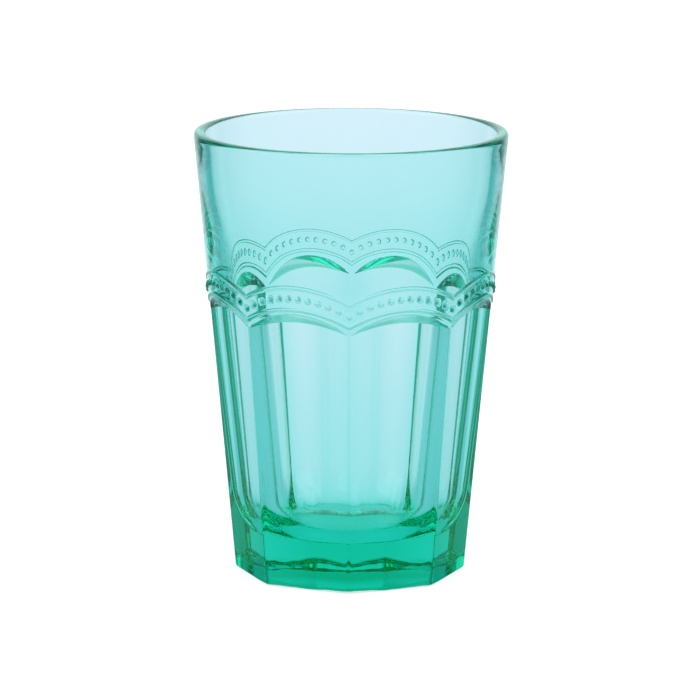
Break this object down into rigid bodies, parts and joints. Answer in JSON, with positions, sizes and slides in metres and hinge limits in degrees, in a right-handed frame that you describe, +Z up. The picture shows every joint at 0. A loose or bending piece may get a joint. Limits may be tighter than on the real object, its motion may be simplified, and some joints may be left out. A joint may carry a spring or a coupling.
{
  "type": "highball glass",
  "caption": "Tall tapered drinking glass of pressed aqua glass, with flat panels on a thick foot, a raised scalloped band of beads round the wall and a rounded lip.",
  "frame": {"origin": "centre of the underside, in the plane that the glass stands on", "axes": "+Z up along the axis of the glass, with a corner between two panels towards -Y and another towards +X"},
  "size_m": [0.089, 0.089, 0.127],
  "materials": {
    "aqua_glass": "clear pressed soda-lime glass, coloured through, fire-polished"
  },
  "bodies": {
    "root": {"foot": "aqua_glass", "panelled_wall": "aqua_glass", "scallop_band": "aqua_glass", "beads": "aqua_glass", "upper_wall": "aqua_glass", "rim": "aqua_glass"}
  },
  "joints": []
}
